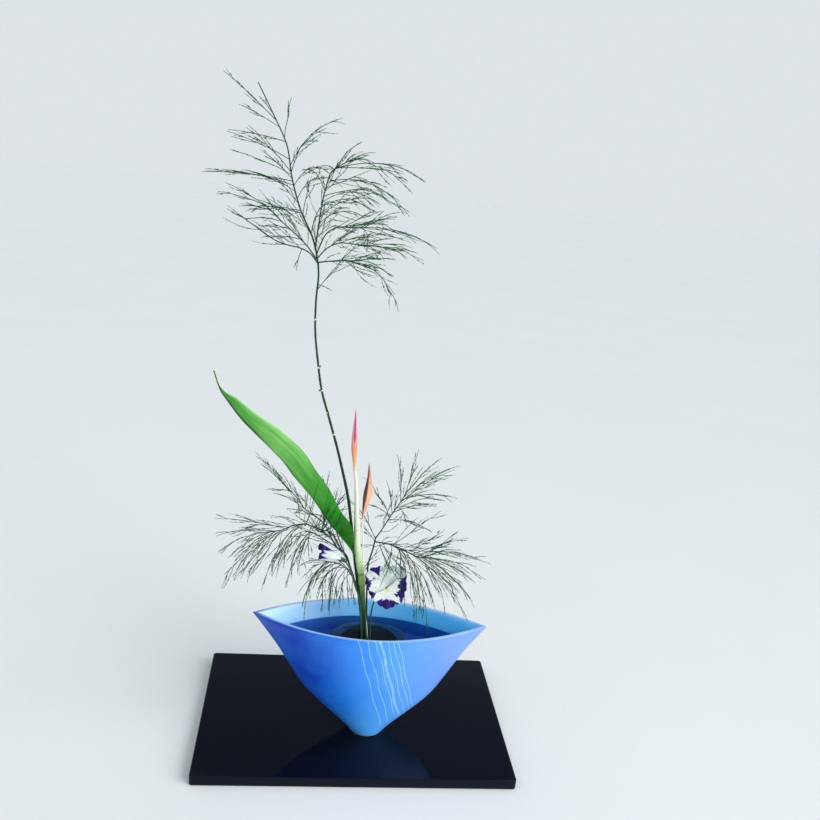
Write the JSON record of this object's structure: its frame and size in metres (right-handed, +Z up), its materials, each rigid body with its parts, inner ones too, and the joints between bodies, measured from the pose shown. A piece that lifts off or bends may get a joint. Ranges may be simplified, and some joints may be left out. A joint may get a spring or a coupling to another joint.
{
  "type": "ikebana arrangement",
  "caption": "Upright flower arrangement of asparagus fern, a heliconia leaf and buds and two pansies on a pin holder in a boat-shaped blue bowl on a black board.",
  "frame": {"origin": "centre of the board's underside, where the arrangement stands", "axes": "+Z up, +X to the right and -Y towards the side the arrangement is seen from"},
  "size_m": [0.4647, 0.3, 0.9123],
  "materials": {
    "black_lacquer": "black lacquer, high gloss",
    "blue_glaze": "satin blue glaze with thin pale wavy lines on one side",
    "clear_dish": "clear, smooth",
    "pin_holder_metal": "dark, dull, slightly tarnished",
    "water": "clear still water that takes the bowl's blue",
    "fern": "matt dark green shoots",
    "heliconia_stalk": "smooth pale green, darker at the joint",
    "heliconia_leaf": "waxy mid green with fine side veins",
    "bract": "waxy orange that turns pink towards the tip",
    "bract_stalk": "smooth whitish green",
    "pansy_petal": "velvety white with deep violet edges",
    "pansy_stalk": "soft mid green"
  },
  "bodies": {
    "root": {"display_board": "black_lacquer", "bowl": "blue_glaze", "kenzan_dish": "clear_dish", "kenzan": "pin_holder_metal", "water": "water", "asparagus_tall": "fern", "asparagus_right": "fern", "asparagus_left": "fern", "heliconia_stem": "heliconia_stalk", "heliconia_leaf": "heliconia_leaf", "heliconia_bract_tall": "bract", "heliconia_bract_short": "bract", "bract_stem": "bract_stalk", "pansy_large": "pansy_petal", "pansy_small": "pansy_petal", "pansy_large_stem": "pansy_stalk", "pansy_small_stem": "pansy_stalk"}
  },
  "joints": []
}
